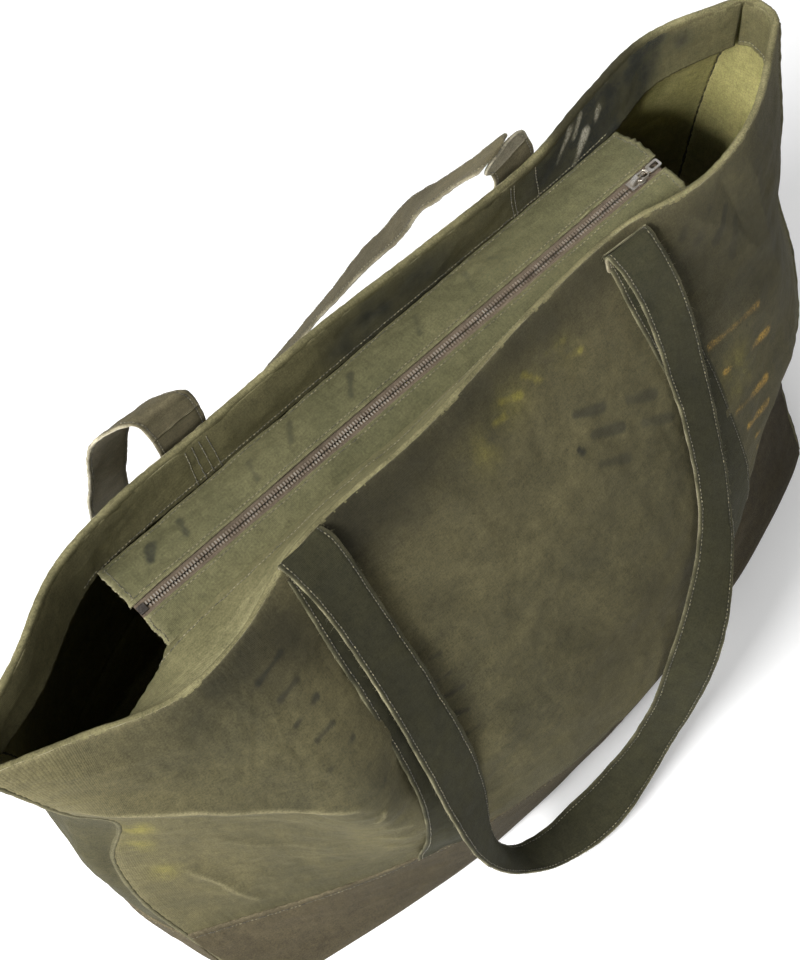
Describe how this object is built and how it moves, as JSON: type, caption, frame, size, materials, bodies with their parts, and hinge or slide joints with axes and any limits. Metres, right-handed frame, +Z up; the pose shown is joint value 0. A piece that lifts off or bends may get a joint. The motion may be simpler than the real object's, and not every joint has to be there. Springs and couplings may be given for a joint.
{
  "type": "canvas tote bag",
  "caption": "Large zip-top tote of weathered olive canvas with a dark sewn base, facings inside the rim, sewn-down straps that loop over as carry handles, and a sliding metal zip.",
  "frame": {"origin": "on the ground plane below the middle of the bag, at the middle of the rest mount on the underside of the base", "axes": "+X along the zip from its closed-end stop towards the slider, +Y from the front panel to the back panel, +Z up"},
  "size_m": [0.7489, 0.4662, 0.4351],
  "materials": {
    "canvas_body": "weathered olive heavy cotton canvas",
    "canvas_base": "dark brown worn canvas",
    "canvas_gusset": "yellow-green worn canvas",
    "canvas_facing": "faded olive canvas with rubbed dark paint",
    "canvas_strip": "faded olive canvas, doubled and stitched",
    "canvas_strap": "brown-olive folded canvas strap, frayed edges",
    "zip_tape": "taupe twill tape",
    "zip_metal": "aged nickel-bronze",
    "slider_metal": "worn nickel plate"
  },
  "bodies": {
    "bag": {"base_floor": "canvas_base", "base_front_band": "canvas_base", "base_back_band": "canvas_base", "base_left_band": "canvas_base", "base_right_band": "canvas_base", "front_panel": "canvas_body", "back_panel": "canvas_body", "left_gusset": "canvas_gusset", "right_gusset": "canvas_gusset", "front_facing": "canvas_facing", "back_facing": "canvas_facing", "left_facing": "canvas_facing", "right_facing": "canvas_facing", "zip_strip_back": "canvas_strip", "zip_strip_front": "canvas_strip", "zip_tape_back": "zip_tape", "zip_tape_front": "zip_tape", "zip_teeth_back": "zip_metal", "zip_teeth_front": "zip_metal", "zip_bottom_stop": "zip_metal", "zip_top_stops": "zip_metal", "front_leg_left": "canvas_strap", "front_leg_right": "canvas_strap", "back_leg_left": "canvas_strap", "back_leg_right": "canvas_strap"},
    "slider": {"slider_body": "slider_metal", "slider_bridge": "slider_metal"},
    "pull": {"pull_link": "slider_metal", "pull_tab": "slider_metal"},
    "front_handle": {"front_handle": "canvas_strap"},
    "back_handle": {"back_handle": "canvas_strap"}
  },
  "joints": [
    {"name": "zip_slide", "type": "slide", "parent": "bag", "child": "slider", "axis": [-1, 0, 0], "range_m": [0, 0.428]},
    {"name": "pull_swing", "type": "hinge", "parent": "slider", "child": "pull", "pos_m": [0.232, 0, 0.37445], "axis": [0, -1, 0], "range_deg": [0, 175]},
    {"name": "front_handle_swing", "type": "hinge", "parent": "bag", "child": "front_handle", "pos_m": [-0.119, -0.056, 0.4015], "axis": [-0.9995, -0.0303, 0.0017], "range_deg": [0, 145]},
    {"name": "back_handle_swing", "type": "hinge", "parent": "bag", "child": "back_handle", "pos_m": [-0.1245, 0.068, 0.4335], "axis": [0.999, -0.0352, -0.0264], "range_deg": [0, 145]}
  ]
}
